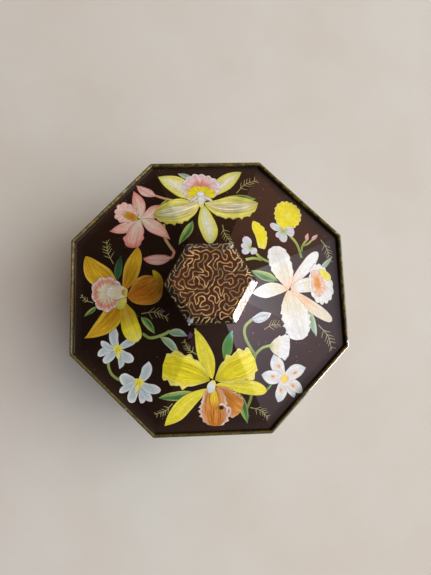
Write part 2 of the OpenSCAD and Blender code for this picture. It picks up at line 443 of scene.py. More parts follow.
def pressed(name, path, slots, paint, sides=OCTAGON):
    """Carries a thickened path round a polygon. paint(middle, left) picks a strip's material."""
    left_side = beside(path, HALF)
    right_side = beside(path, -HALF)
    outline = left_side + right_side[::-1]
    closed = path[0].real <= MIDDLE
    count = len(ring(RIM, sides))
    points = [(p.real, p.imag, o.imag) for o in outline for p in ring(o.real, sides)]
    faces, indices = [], []
    last = len(outline) - 1
    for i in range(last if closed else last + 1):
        after = 0 if i == last else i + 1
        middle = (outline[i] + outline[after]) / 2
        index = paint(middle, i < len(path) - 1)
        for j in range(count):
            k = (j + 1) % count
            faces.append((i * count + j, after * count + j, after * count + k, i * count + k))
            indices.append(index)
    if closed:
        faces.append(tuple(range(count)))
        faces.append(tuple(range(last * count, (last + 1) * count))[::-1])
        indices += [paint(outline[0], True), paint(outline[-1], False)]
    made = mesh_object(name, points, faces, slots, indices)
    weighted = made.modifiers.new("facets", "WEIGHTED_NORMAL")
    weighted.keep_sharp = True
    weighted.weight = FACET_WEIGHT
    return made


def wall_path(height):
    hook = complex(WALL_HOOK, SEAM_BEND)
    foot = complex(WALL, SEAM_BEND)
    top = complex(WALL, height - BEAD - HALF)
    over = top + 2 * BEAD
    tuck = top + BEAD - 1j * BEAD
    start = complex(WALL_HOOK, HOOK_BEND - HOOK_STOP)
    return [start, hook] + arc(hook, foot, -90) + [top] + arc(top, over, -90) + arc(over, tuck, -45)


def end_path(inside, height):
    fillet = complex(END_WALL - FOOT_BEND, height)
    drop = complex(END_WALL, height - FOOT_BEND)
    printed = complex(END_WALL, RIM_PRINT)
    down = complex(END_WALL, SEAM_BEND)
    outside = complex(END_OUTSIDE, SEAM_BEND)
    up = complex(END_OUTSIDE, HOOK_BEND)
    hook = complex(END_HOOK, HOOK_BEND)
    return (inside + [fillet] + arc(fillet, drop, -45, 6) + [printed, down] + arc(down, outside, 90) + [up]
            + arc(up, hook, 90) + [complex(END_HOOK, SEAM_BEND + HOOK_STOP)])


ROOF_STEPS = 40
roof_arc = [complex(CROWN, COUNTERSINK - (CROWN_Z - FOOT_Z))]
roof_arc += arc(roof_arc[0], complex(ROOF_FOOT, COUNTERSINK), -ROOF_BEND, ROOF_STEPS)


LAP_WIDTH = 5.0
LAP_EDGE = 0.15   # bevel along the lap's free edges
LAP_SINK = 0.02   # the lap's strip starts this far inside the wall's face


def lap(name, bottom, top, material, body):
    """The overlap where a wrapped sheet's ends meet, at the back."""
    half = LAP_WIDTH / 2
    sunk, outside = WALL_OUT - LAP_SINK, WALL_OUT + SHEET
    profile = [(-half, sunk), (-half, outside - LAP_EDGE), (-half + LAP_EDGE, outside),
               (half - LAP_EDGE, outside), (half, outside - LAP_EDGE), (half, sunk)]
    points = [(x, y, z) for z in (bottom, top) for x, y in profile]
    n = len(profile)
    faces = [(i + 1, i, i + n, i + 1 + n) for i in range(n - 1)]
    faces += [tuple(range(n)), tuple(range(n, 2 * n))[::-1]]
    made = mesh_object(name, points, faces, [material], [0] * len(faces))
    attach(made, body)
    return made


# ---------------------------------------------------------------- printed decoration
LIFT = 0.08   # height of the print above the sheet
COAT = 0.009  # more height for each later stroke, so that it covers the earlier ones


def octagon_apothem(x, y):
    return max(x * math.cos(k * math.pi / 4) + y * math.sin(k * math.pi / 4) for k in range(OCTAGON))


def hexagon_apothem(x, y):
    angles = [math.pi / 6 + k * math.pi / 3 for k in range(HEXAGON)]
    return max(x * math.cos(a) + y * math.sin(a) for a in angles)


roof_profile = [complex(p.real, RIM_Z - p.imag + HALF) for p in roof_arc]


def on_roof(x, y, lift):
    """The roof's surface over a point in plan."""
    apothem = octagon_apothem(x, y)
    if apothem >= ROOF_FOOT:
        return (x, y, FOOT_Z + HALF + lift)
    for inner, outer in zip(roof_profile, roof_profile[1:]):
        if apothem <= outer.real:
            part = max(0, (apothem - inner.real) / (outer.real - inner.real))
            return (x, y, inner.imag + part * (outer.imag - inner.imag) + lift)
    return (x, y, FOOT_Z + HALF + lift)


KNOB_SLOPE = (KNOB_BEVEL - HALF) / (CAP_SIDE - KNOB_FLAT)
KNOB_TILT = math.hypot(1, KNOB_SLOPE)


def on_knob(x, y, lift):
    """The knob's top and bevel over a point in plan."""
    bevel = KNOB_Z - HALF + HALF * KNOB_TILT - (hexagon_apothem(x, y) - KNOB_FLAT) * KNOB_SLOPE
    return (x, y, min(KNOB_Z + lift, bevel + lift * KNOB_TILT))


def on_side(facet, out, base):
    """A surface function for one upright facet: across it, and up from base."""
    turn = facet * math.pi / 4

    def place(across, up, lift):
        outward, along = out + lift, -across
        x = outward * math.cos(turn) + along * math.sin(turn)
        y = outward * math.sin(turn) - along * math.cos(turn)
        return (x, y, base + up)
    return place


def on_rim(x, y, lift):
    """The crest of the rim's seam, over a point in plan."""
    return (x, y, RIM_Z + lift - LIFT - COAT)


def octagon_reach(angle):
    """How far the octagon of apothem 1 is inside its own circle, along an angle in degrees."""
    return math.cos(math.radians(angle - math.floor(angle / 45 + 0.5) * 45))


def blend(a, b, amount):
    return tuple(p + (q - p) * amount for p, q in zip(a, b))


def ease(value, start, end):
    t = min(1, max(0, (value - start) / (end - start)))
    return t * t * (3 - 2 * t)


def outline(along, full, blunt, neck):
    """A petal's half width at a place along it, as a part of its fullest."""
    if along > full:
        return (1 - ((along - full) / (1 - full)) ** 2) ** blunt
    return neck + (1 - neck) * (1 - ((full - along) / full) ** 2) ** 0.9


EDGE_LINE = 0.25                       # width of the dark line that parts each petal from those under it
SHADE = rgb(66, 46, 26, 0.2)


class Paint:
    """Colours of a petal: stops from base to tip, an edge, a middle streak, another tone for its right half
    and the strength of its veins."""

    def __init__(self, *stops, edge=None, rim=0.5, streak=None, glow=0.6, right=None, veins=0.5):
        self.stops = stops
        self.edge = edge or stops[-1]
        self.rim = rim
        self.streak = streak
        self.glow = glow
        self.right = right
        self.veins = veins

    def at(self, along, across):
        place = min(along, 0.9999) * (len(self.stops) - 1)
        first = int(place)
        after = self.stops[min(first + 1, len(self.stops) - 1)]
        colour = blend(self.stops[first], after, ease(place - first, 0, 1))
        if self.streak:
            middle = math.exp(-(across / 0.42) ** 2) * math.sin(math.pi * min(1, along)) ** 0.7
            colour = blend(colour, self.streak, self.glow * middle)
        if self.right:
            colour = blend(colour, self.right, 0.75 * ease(-across, 0, 0.25))
        colour = blend(colour, self.edge, self.rim * ease(abs(across), 0.62, 1.0))
        return colour[:3] + (self.veins,)


class Print:
    """One printed motif: strokes laid on a surface, turned, scaled and moved from where they are drawn."""

    def __init__(self, surface, about=0j, to=0j, scale=1.0, turn=0.0, mirror=False):
        self.surface = surface
        self.about, self.to, self.mirror = about, to, mirror
        self.turn = cmath.rect(scale, math.radians(turn))
        self.points, self.faces, self.tints, self.plan = [], [], [], []
        self.strokes = 0

    def grid(self, rows, colours, plan):
        """Lays a grid of points, each with a colour and a place on the petal."""
        first = len(self.points)
        width = len(rows[0])
        lift = LIFT + COAT * self.strokes
        for row in rows:
            for point in row:
                moved = point - self.about
                if self.mirror:
                    moved = complex(-moved.real, moved.imag)
                moved = moved * self.turn + self.to
                self.points.append(self.surface(moved.real, moved.imag, lift))
        self.tints += [c for row in colours for c in row]
        self.plan += [p for row in plan for p in row]
        for i in range(len(rows) - 1):
            for j in range(width - 1):
                a = first + i * width + j
                face = (a, a + width, a + width + 1, a + 1)
                self.faces.append(face[::-1] if self.mirror else face)

    def petal(self, base, tip, width, paint, full=0.55, blunt=0.55, bend=0.0, ruffle=0.0, waves=5, neck=0.0,
              side=0):
        """A petal from base to tip. full is where it is widest, blunt is low for a round tip and about 1
        for a pointed one, bend bows it to the left as a part of its length, ruffle waves its edges, and side
        keeps the waves to one of them. Its two edges differ a little, as hand-drawn ones do."""
        self.strokes += 1
        span = tip - base
        control = (base + tip) / 2 + 1j * span * bend
        lean = 0.05 * math.sin(2.4 * self.strokes)
        rows, colours, plan = [], [], []
        steps = 30
        for i in range(steps + 1):
            along = i / steps
            centre = (1 - along) ** 2 * base + 2 * along * (1 - along) * control + along ** 2 * tip
            heading = 2 * (1 - along) * (control - base) + 2 * along * (tip - control)
            left = 1j * heading / abs(heading)
            row, tints, places = [], [], []
            for edge in (-1, 1):
                half = width / 2 * outline(along, full + lean * edge, blunt, neck)
                half *= 1 + 0.05 * math.sin(9 * along + self.strokes + 2 * edge)
                wave = math.sin(2 * math.pi * waves * along + 1.6 + 0.7 * edge)
                wave += 0.5 * math.sin(2 * math.pi * waves * 1.7 * along + 2.2 - 1.9 * edge)
                shown = 1 if side in (0, edge) else 0
                light = max(0.6, 1 - EDGE_LINE / max(half, EDGE_LINE))
                parts = (0, 0.3, 0.55, 0.78, light, 1) if edge > 0 else (1, light, 0.78, 0.55, 0.3)
                for part in parts:
                    reach = half * (1 + ruffle * shown * wave * ease(along, 0.15, 0.5) * part ** 3)
                    row.append(centre + left * reach * part * edge)
                    tints.append(paint.at(along, part * edge) if part < 1 else SHADE)
                    places.append((along + 2.3 * self.strokes, part * edge))
            rows.append(row)
            colours.append(tints)
            plan.append(places)
        self.grid(rows, colours, plan)

    def disc(self, centre, radius, paint, tall=1.0, turn=0.0, scallops=12, ruffle=0.05, start=0, stop=360):
        """A round lip or eye with a scalloped edge, or the sector of one from start to stop degrees."""
        self.strokes += 1
        rings, steps = 8, 72
        spin = cmath.rect(1, math.radians(turn))
        rows, colours, plan = [], [], []
        last = rings + (1 if radius > 3 else 0)
        for i in range(last + 1):
            out = i / rings if i <= rings else 1 + EDGE_LINE / radius
            row, tints, places = [], [], []
            for j in range(steps + 1):
                angle = math.radians(start + (stop - start) * j / steps)
                wave = abs(math.sin(scallops * angle / 2)) - 0.5 + 0.4 * math.sin(3 * angle + 1)
                reach = radius * out * (1 + ruffle * wave * out ** 4)
                row.append(centre + spin * complex(reach * math.cos(angle), reach * tall * math.sin(angle)))
                tints.append(paint.at(out, out ** 3) if out <= 1 else SHADE)
                places.append((out + 2.3 * self.strokes, angle * 0.9))
            rows.append(row)
            colours.append(tints)
            plan.append(places)
        self.grid(rows, colours, plan)

    def ribbon(self, points, width, start, end=None, taper=0.0):
        """A smooth line through points."""
        end = end or start
        line = spline(points, 10 if len(points) > 2 else 4)
        rows, colours, plan = [], [], []
        for i, point in enumerate(line):
            along = i / (len(line) - 1)
            heading = line[min(i + 1, len(line) - 1)] - line[max(i - 1, 0)]
            left = 1j * heading / abs(heading)
            half = width / 2 * (1 - taper * along)
            rows.append([point + left * half * j for j in (-1, -0.3, 0.3, 1)])
            shade = blend(start, end, along)
            dark_edge = blend(shade, rgb(60, 70, 30), 0.25)
            colours.append([(shade if j else dark_edge)[:3] + (0.2,) for j in range(4)])
            plan.append([(along, j / 3) for j in range(4)])
        self.grid(rows, colours, plan)

    def fern(self, base, tip, width=0.44, bend=0.12, pairs=5, reach=0.3, colour=rgb(164, 160, 96)):
        """A feathery sprig: a bowed stem with thin leaflets in pairs."""
        span = tip - base
        line = spline([base, (base + tip) / 2 + 1j * span * bend, tip], 8)
        self.ribbon([line[0], line[len(line) // 2], line[-1]], width, colour, taper=0.5)
        for k in range(1, pairs + 1):
            along = 0.15 + 0.8 * k / (pairs + 0.5)
            root = line[int(along * (len(line) - 1))]
            length = abs(span) * reach * (1.05 - 0.5 * along)
            heading = span / abs(span)
            for side in (-1, 1):
                end = root + heading * cmath.rect(length, math.radians(side * 48))
                self.ribbon([root, end], width * 0.8, colour, blend(colour, rgb(214, 208, 160), 0.5),
                            taper=0.6)

    def finish(self, name, material, body):
        made = mesh_object(name, self.points, self.faces, [material], [0] * len(self.faces), NO_FOLDS)
        tint = made.data.color_attributes.new("Tint", "FLOAT_COLOR", "POINT")
        tint.data.foreach_set("color", [v for colour in self.tints for v in colour])
        layer = made.data.uv_layers.new(name="Petal")
        for loop in made.data.loops:
            layer.data[loop.index].uv = self.plan[loop.vertex_index]
        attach(made, body)
        return made


def spline(points, steps):
    """A smooth line through points, with steps points from each to the next."""
    if len(points) == 2:
        return [points[0] + (points[1] - points[0]) * (i / steps) for i in range(steps + 1)]
    ends = [2 * points[0] - points[1]] + list(points) + [2 * points[-1] - points[-2]]
    line = []
    for a, b, c, d in zip(ends, ends[1:], ends[2:], ends[3:]):
        for i in range(steps):
            t = i / steps
            line.append(0.5 * (2 * b + (c - a) * t + (2 * a - 5 * b + 4 * c - d) * t ** 2
                               + (3 * b - a - 3 * c + d) * t ** 3))
    return line + [points[-1]]


# Colours of the print. Each motif below is drawn in its place over the lid's plan.
WHITE = rgb(222, 226, 222)
ICE = rgb(190, 205, 206)
MIST = rgb(150, 172, 176)
CREAM = rgb(220, 214, 186)
YELLOW = rgb(226, 216, 40)
LEMON = rgb(226, 222, 110)
LIME = rgb(190, 194, 72)
GOLD = rgb(190, 148, 28)
AMBER = rgb(192, 124, 32)
ORANGE = rgb(214, 148, 66)
PEACH = rgb(230, 190, 152)
PINK = rgb(212, 136, 128)
BLUSH = rgb(228, 196, 186)
LAVENDER = rgb(212, 190, 212)
ROSE = rgb(204, 112, 108)
PURPLE = rgb(112, 68, 108)
GREEN = rgb(84, 142, 74)
DEEP_GREEN = rgb(42, 88, 56)
PALE_GREEN = rgb(164, 182, 96)
DARK = rgb(40, 26, 20)

leaf_paint = Paint(GREEN, DEEP_GREEN, GREEN, edge=LEMON, rim=0.6, streak=GREEN, glow=0.4,
                   right=rgb(150, 176, 92))
dark_leaf = Paint(DEEP_GREEN, DEEP_GREEN, rgb(30, 66, 46), edge=rgb(120, 140, 84), rim=0.6, veins=0.5)
pale_leaf = Paint(PALE_GREEN, rgb(158, 188, 146), ICE, edge=WHITE, rim=0.8, streak=rgb(112, 152, 116),
                  right=rgb(118, 150, 112), veins=0.4)
stem_start = rgb(150, 160, 84)
stem_end = rgb(112, 132, 66)


def leaf(motif, base, tip, width, paint=leaf_paint, bend=0.0):
    motif.petal(base, tip, width, paint, full=0.45, blunt=0.95, bend=bend)


def bud(motif, base, tip, width, inner, outer, bend=0.0):
    """Two lapped petals, closed."""
    motif.petal(base, tip, width, Paint(outer, inner, outer, edge=outer), full=0.5, blunt=0.85, bend=bend)
    motif.petal(base, tip - (tip - base) * 0.12, width * 0.5,
                Paint(inner, blend(inner, outer, 0.3), inner, veins=0.8),
                full=0.5, blunt=0.85, bend=bend - 0.12)


def lime_orchid(motif):
    """A yellow-green orchid with a ruffled pink lip above it."""
    leaf(motif, 10 + 54j, 28 + 53j, 4.6, bend=-0.06)
    leaf(motif, -8 + 39j, -15.7 + 24.4j, 4.8, bend=0.06)
    leaf(motif, -7 + 66j, -16 + 70j, 3.4, pale_leaf)
    motif.fern(17 + 56.5j, 29.6 + 64.8j)
    motif.fern(8 + 36j, 12.4 + 24.2j, bend=-0.1)
    motif.fern(-12 + 63.5j, -19.2 + 67.6j, pairs=4)
    sepal = Paint(LIME, LEMON, LEMON, LIME, edge=LIME, streak=WHITE, glow=0.85, veins=0.7)
    motif.petal(-5 + 53j, -27.4 + 68j, 11.5, sepal, full=0.46, blunt=0.95, bend=-0.08)
    motif.petal(-0.5 + 53j, 20.8 + 70.4j, 9.6, sepal, full=0.52, blunt=0.9, bend=0.08)
    motif.petal(-2.6 + 50j, 1 + 24j, 9.6, Paint(LIME, LEMON, LEMON, LIME, edge=LIME,
                                                streak=rgb(214, 226, 222),
                                              glow=0.9, veins=0.4), full=0.6, blunt=0.6, bend=0.05)
    ruffled = Paint(LEMON, LEMON, LIME, rgb(168, 162, 50), edge=LEMON, rim=0.8, streak=WHITE, glow=0.75,
                    veins=1.5)
    motif.petal(-4 + 50.5j, -30 + 44.5j, 16, ruffled, full=0.5, blunt=0.7, bend=0.16, ruffle=0.08, waves=8,
                side=1)
    motif.petal(-1.5 + 50.5j, 29 + 50.5j, 15, ruffled, full=0.56, blunt=0.85, bend=-0.24, ruffle=0.1, waves=8,
                side=-1)
    motif.disc(-3.2 + 60.2j, 10.2, Paint(PINK, PINK, BLUSH, LAVENDER, edge=WHITE, rim=0.9, veins=0.9),
               tall=0.88, scallops=15, ruffle=0.12)
    motif.disc(-3.2 + 56j, 7.4, Paint(rgb(186, 156, 20), YELLOW, YELLOW, edge=YELLOW, veins=0.9), tall=0.72,
               scallops=8, ruffle=0.14, start=-28, stop=208)
    motif.petal(-3 + 47.5j, -3.2 + 58j, 4.2, Paint(LEMON, WHITE, WHITE, veins=0.2), full=0.85, blunt=0.4,
                neck=0.5)
    motif.petal(-3 + 55j, -9.5 + 50.5j, 2, Paint(WHITE, CREAM, veins=0.2), bend=-0.2)
    motif.petal(-3 + 55j, 3.5 + 50.5j, 2, Paint(WHITE, CREAM, veins=0.2), bend=0.2)


def pink_orchid(motif):
    """A small pink orchid with two buds."""
    motif.ribbon([-28.5 + 56j, -23 + 53.6j, -17 + 52j], 1.3, PINK, PALE_GREEN)
    motif.ribbon([-22 + 53j, -25.5 + 50j, -27 + 46.5j], 1.0, PALE_GREEN, stem_end)
    bud(motif, -28 + 55.6j, -39.6 + 63.2j, 5.2, BLUSH, PINK, bend=0.1)
    motif.ribbon([-23.8 + 38j, -23.3 + 30j, -20 + 23.5j, -18.2 + 20.3j, -19.6 + 17j], 1.5, stem_start, PINK)
    bud(motif, -18.9 + 17.4j, -34.8 + 18.6j, 6.2, BLUSH, PINK, bend=0.13)
    pink = Paint(CREAM, BLUSH, rgb(224, 168, 156), ROSE, edge=PINK, rim=0.8, streak=CREAM, glow=0.45,
                 veins=0.9)
    centre = -37 + 42j
    motif.petal(centre, -41.4 + 60j, 7.6, pink, full=0.42, blunt=1.0, bend=-0.1)
    motif.petal(centre, -25 + 50j, 7.6, pink, full=0.5, blunt=0.9, bend=-0.1)
    motif.petal(centre, -20 + 28j, 7.6, pink, full=0.4, blunt=1.2, bend=0.1)
    motif.petal(centre, -54.6 + 36.2j, 7, pink, full=0.5, blunt=1.1, bend=0.12)
    motif.petal(centre, -41.4 + 25.2j, 11, pink, full=0.68, blunt=0.42, bend=-0.06, ruffle=0.08, waves=3)
    motif.disc(-45.4 + 46.6j, 6.6, Paint(BLUSH, BLUSH, BLUSH, edge=PINK, rim=0.5, veins=0.8), tall=0.85,
               turn=-30, scallops=10, ruffle=0.14)
    motif.petal(-38.4 + 42j, -48 + 47.4j, 4.6, Paint(rgb(206, 170, 60), AMBER, GOLD, BLUSH, edge=LEMON,
                                                     veins=0.9), full=0.4, blunt=0.6)


def golden_orchid(motif):
    """A large golden orchid with a cream trumpet edged in rose."""
    leaf(motif, -50 + 7j, -47.2 + 21.5j, 4.4, dark_leaf)
    leaf(motif, -60.5 - 5.5j, -68 - 10.8j, 2.6)
    leaf(motif, -36 - 12.6j, -29 - 21.6j, 4, bend=0.08)
    leaf(motif, -48 - 5j, -38 - 13j, 4.6)
    motif.fern(-51.5 + 17j, -55.8 + 31j, bend=0.08)
    motif.fern(-63 - 3.5j, -70 + 1.2j, pairs=3)
    motif.fern(-35.8 - 11j, -21.5 - 14.4j, bend=0.14)
    motif.disc(-25 - 10.5j, 0.9, Paint(PURPLE, PURPLE, veins=0.3), scallops=5, ruffle=0.4)
    gold = Paint(AMBER, GOLD, rgb(210, 172, 40), rgb(196, 158, 30), edge=rgb(224, 196, 80), rim=0.7,
                 veins=1.3)
    motif.petal(-47 + 1j, -67.6 + 22.6j, 12.5, gold, full=0.54, blunt=0.8, bend=0.14)
    motif.petal(-46 + 1j, -38.2 + 26j, 9.4, gold, full=0.54, blunt=0.95, bend=-0.1)
    motif.petal(-46 - 3j, -67.8 - 22.6j, 11.5, gold, full=0.4, blunt=1.2, bend=0.16, neck=0.4)
    motif.petal(-46 - 3j, -38.4 - 25.4j, 10.2, Paint(GOLD, GOLD, YELLOW, LEMON, edge=YELLOW, streak=LEMON,
                                                     glow=0.3,
                                                  veins=0.8), full=0.66, blunt=0.45, bend=-0.06)
    amber = Paint(AMBER, AMBER, rgb(206, 148, 40), edge=rgb(224, 182, 76), rim=0.7, veins=1.5)
    motif.petal(-44 - 1j, -26.2 + 6.4j, 17, amber, full=0.6, blunt=0.6, bend=-0.22)
    motif.petal(-25.6 - 2.4j, -29.6 + 11.4j, 3.8, Paint(AMBER, GOLD, YELLOW, edge=LEMON, veins=0.8),
                bend=-0.26)
    motif.petal(-44 - 2j, -49 - 7.6j, 5.2, Paint(LEMON, LIME, edge=LIME, veins=0.5), full=0.6)
    cream = Paint(CREAM, CREAM, CREAM, rgb(216, 142, 120), BLUSH, edge=WHITE, rim=0.8, veins=1.4)
    motif.disc(-55.4 + 1j, 8.2, cream, tall=1.12, turn=12, scallops=9, ruffle=0.1)
    motif.petal(-43.6 + 0.2j, -55 + 2.4j, 8.2, Paint(LEMON, CREAM, CREAM, WHITE, edge=CREAM, veins=0.7),
                full=0.66, blunt=0.5, neck=0.5)
    motif.petal(-43.4 + 0.6j, -46.8 + 1.2j, 3.4, Paint(LEMON, AMBER, edge=CREAM, veins=0.4))


def white_daisies(motif):
    """Two small white orchids on one stem, and a sprig of two pale leaves."""
    motif.ribbon([-54.4 - 34j, -54.6 - 38j, -52.6 - 42.4j, -47.6 - 45.4j, -41 - 45j], 1.5, stem_start,
                 stem_end)
    motif.ribbon([-35.6 - 21.2j, -31.4 - 23.6j, -25 - 22.4j, -21 - 20.6j], 1.5, stem_end, PALE_GREEN)
    leaf(motif, -22.4 - 21.2j, -12 - 23.6j, 4, pale_leaf, bend=0.16)
    leaf(motif, -26.4 - 23.4j, -16.6 - 33j, 4.2, pale_leaf, bend=0.16)
    white = Paint(LEMON, ICE, ICE, WHITE, edge=WHITE, rim=0.9, streak=MIST, glow=0.55, veins=0.5)
    for centre, tips in (
            (-49.2 - 28.8j, ((-1 + 12j, 5.4, 1.0), (11 + 6j, 4.4, 0.7), (8.5 - 5.6j, 5.6, 0.45),
                             (0.4 - 10.5j, 3.6, 0.9),
                             (-8 - 7j, 4.6, 0.4), (-11 - 3.4j, 4.4, 0.5), (-9 + 4.6j, 4, 0.6))),
            (-38.4 - 46.6j, ((5.6 + 11j, 5.6, 1.0), (-9.5 + 4.4j, 6.6, 0.4), (-10.6 - 5j, 4, 0.5),
                             (-4 - 10.6j, 5.4, 0.4), (0.6 - 10.8j, 4.4, 0.5), (6.8 - 10j, 4.4, 0.7),
                             (11.6 - 4j, 5.2, 0.5)))):
        for i, (tip, width, blunt) in enumerate(tips):
            bend = 0.3 * math.sin(2.1 * i + centre.real)
            motif.petal(centre, centre + tip, width, white, full=0.64, blunt=blunt, bend=bend, neck=0.3)
        motif.disc(centre, 2.1, Paint(rgb(206, 196, 60), YELLOW, LEMON, veins=0.4), scallops=7, ruffle=0.3)
        motif.petal(centre, centre + tips[3][0] * 0.55, 2.6, Paint(YELLOW, LEMON, CREAM, veins=0.3), neck=0.4)


def yellow_orchid(motif):
    """The largest orchid: lemon yellow with a ruffled orange lip."""
    motif.ribbon([22.9 - 34j, 21.4 - 40j, 20.4 - 48j, 20.4 - 56j, 18 - 62.4j], 1.5, stem_start, stem_end)
    leaf(motif, 7 - 37j, 10.8 - 21j, 5.4, Paint(GREEN, GREEN, rgb(90, 160, 130), edge=PALE_GREEN), bend=0.06)
    leaf(motif, -9 - 52.4j, -28.4 - 54.8j, 5.2, bend=0.05)
    leaf(motif, 12.6 - 52j, 18.4 - 70j, 4.8, bend=0.05)
    motif.fern(-21 - 58j, -30.4 - 63.4j)
    motif.fern(20 - 61.4j, 29.6 - 67.6j)
    motif.fern(-7.4 - 33j, -14 - 25.4j)
    motif.disc(-10.6 - 23.2j, 1, Paint(PURPLE, PURPLE, veins=0.3), scallops=5, ruffle=0.4, tall=1.6, turn=-20)
    narrow = Paint(YELLOW, YELLOW, YELLOW, edge=LEMON, rim=0.7, streak=LEMON, glow=0.4, veins=0.8)
    motif.petal(1 - 49j, 29 - 53.4j, 7.6, narrow, full=0.7, blunt=0.5, bend=0.08)
    motif.petal(-2 - 50.5j, -25.4 - 69.6j, 8.6, narrow, full=0.6, blunt=0.95, bend=-0.08)
    motif.petal(0.5 - 46j, -8.4 - 19.6j, 8, narrow, full=0.42, blunt=1.0, bend=-0.04)
    wide = Paint(rgb(186, 178, 40), YELLOW, YELLOW, YELLOW, edge=rgb(232, 230, 150), rim=0.6, veins=1.0)
    motif.petal(-1 - 46.5j, -25.4 - 38j, 18, wide, full=0.66, blunt=0.24, bend=-0.06, ruffle=0.1, waves=4)
    motif.petal(1.5 - 46.5j, 22.8 - 36.4j, 17, wide, full=0.7, blunt=0.26, bend=0.04, ruffle=0.12, waves=4)
    lip = Paint(AMBER, ORANGE, rgb(200, 132, 54), AMBER, edge=rgb(230, 214, 206), rim=0.9, veins=1.6)
    motif.petal(1 - 51j, 15.4 - 62.6j, 13.5, Paint(AMBER, AMBER, ORANGE, edge=PEACH, rim=0.7, veins=1.5),
                full=0.66, blunt=0.4, bend=-0.1, ruffle=0.1, waves=7, neck=0.4)
    motif.petal(0 - 51j, 0.6 - 70.6j, 15.4, lip, full=0.64, blunt=0.36, bend=0.06, ruffle=0.09, waves=7,
                neck=0.5)
    motif.petal(0.6 - 51j, 1.4 - 62j, 5, Paint(YELLOW, rgb(228, 190, 60), AMBER, veins=0.8), full=0.6,
                neck=0.3)
    motif.disc(4.6 - 61j, 1.7, Paint(DARK, DARK, AMBER, veins=0.2), tall=0.8, scallops=4, ruffle=0.2)
    motif.ribbon([3.8 - 59.4j, 5.6 - 59.2j, 6.8 - 60.6j, 9 - 61.4j, 9.4 - 63.6j, 8 - 66j], 0.8, WHITE,
                 LAVENDER)
    motif.petal(-1.6 - 53j, 1 - 46.4j, 4.6, Paint(ICE, WHITE, LEMON, veins=0.2), full=0.45, blunt=0.5,
                neck=0.3)


def white_lilies(motif):
    """A white flower spotted with orange, a trumpet and a bud on one stem."""
    motif.ribbon([21 - 16j, 17.6 - 19.4j, 17.4 - 24j, 20 - 29.6j, 23 - 34j], 1.5, PALE_GREEN, stem_end)
    motif.ribbon([31 - 29.4j, 27 - 30.4j, 23.4 - 33.6j, 22 - 38j], 1.4, PALE_GREEN, stem_end)
    bud(motif, 20.6 - 15.8j, 31.8 - 12.8j, 5.2, ICE, WHITE, bend=-0.1)
    motif.fern(28 - 21j, 37 - 18.6j, pairs=4, reach=0.42)
    motif.petal(30.4 - 29.6j, 42.2 - 30.4j, 13.4, Paint(PALE_GREEN, CREAM, WHITE, WHITE, edge=WHITE,
                                                        veins=0.4),
                full=0.84, blunt=0.3, ruffle=0.06, waves=4)
    white = Paint(CREAM, WHITE, WHITE, ICE, edge=WHITE, rim=0.9, streak=ICE, glow=0.7, veins=0.5)
    centre = 38.6 - 46.8j
    leaf(motif, 27 - 54j, 32 - 49.6j, 2)
    for tip, width, blunt in ((-5.6 + 12.8j, 7.4, 1.0), (-12.4 + 2.4j, 7.4, 0.9), (-3.6 - 12.6j, 6.6, 0.8),
                              (5.4 - 10.6j, 4.6, 0.7), (10 - 8.4j, 6.2, 0.8), (12.6 + 5j, 7.6, 1.1)):
        motif.petal(centre, centre + tip, width, white, full=0.56, blunt=blunt, bend=0.08, neck=0.3)
        if abs(tip) > 12.1:
            motif.disc(centre + tip * 0.5, 2.0, Paint(AMBER, PEACH, WHITE, veins=1.0), tall=0.7,
                       turn=math.degrees(cmath.phase(tip)), scallops=4, ruffle=0.3)
    motif.disc(centre + 0.4 - 0.4j, 3, Paint(YELLOW, YELLOW, PEACH, WHITE, veins=0.4), scallops=6, ruffle=0.3)


def white_orchid(motif):
    """A large white orchid with a peach trumpet to its right."""
    leaf(motif, 36.6 + 4.6j, 21.6 + 9.2j, 5)
    leaf(motif, 62 + 11j, 70.2 + 19.4j, 2.8, pale_leaf)
    leaf(motif, 53.6 - 10j, 57.4 - 25.4j, 4.2, pale_leaf)
    motif.fern(64 + 29j, 68 + 15.6j, colour=rgb(168, 160, 130))
    motif.fern(59 - 19j, 66.2 - 33.2j, colour=rgb(176, 170, 130))
    white = Paint(PEACH, CREAM, WHITE, WHITE, edge=WHITE, streak=rgb(206, 206, 196), glow=0.6, veins=0.5)
    peach = Paint(CREAM, PEACH, CREAM, CREAM, edge=WHITE, veins=0.5)
    motif.petal(43 + 1j, 61.6 + 21.8j, 6.8, Paint(PEACH, WHITE, WHITE, edge=PEACH, rim=0.4, veins=0.4),
                full=0.66, blunt=0.5)
    motif.petal(43 + 0j, 67.4 - 17j, 6.8, peach, full=0.6, blunt=0.4)
    motif.petal(43 + 0.6j, 21.4 - 2.8j, 7.6, white, full=0.55, blunt=0.9, bend=-0.06)
    motif.petal(42 + 0j, 49.6 - 26.6j, 16.4, white, full=0.6, blunt=0.45, ruffle=0.08, waves=8, bend=-0.04)
    motif.petal(42.6 + 0j, 35.4 + 24j, 13.4, white, full=0.62, blunt=0.4, bend=-0.04, ruffle=0.05, waves=6)
    motif.petal(44 + 0.6j, 60 + 4.4j, 8.4, Paint(PEACH, WHITE, CREAM, PEACH, edge=WHITE, veins=0.5), full=0.7,
                blunt=0.4, neck=0.3)
    motif.disc(62 + 3.4j, 11, Paint(PEACH, BLUSH, WHITE, WHITE, edge=WHITE, rim=0.8, veins=0.5), tall=0.62,
               turn=98, scallops=14, ruffle=0.1)
    motif.petal(61 + 11.6j, 67.6 + 5.4j, 4.6, Paint(LEMON, YELLOW, LEMON, edge=WHITE, veins=0.4), bend=0.2)
    motif.disc(60 + 4j, 7.2, Paint(ORANGE, ORANGE, PEACH, BLUSH, edge=BLUSH, veins=1.2), tall=0.5, turn=98,
               scallops=5, ruffle=0.1)


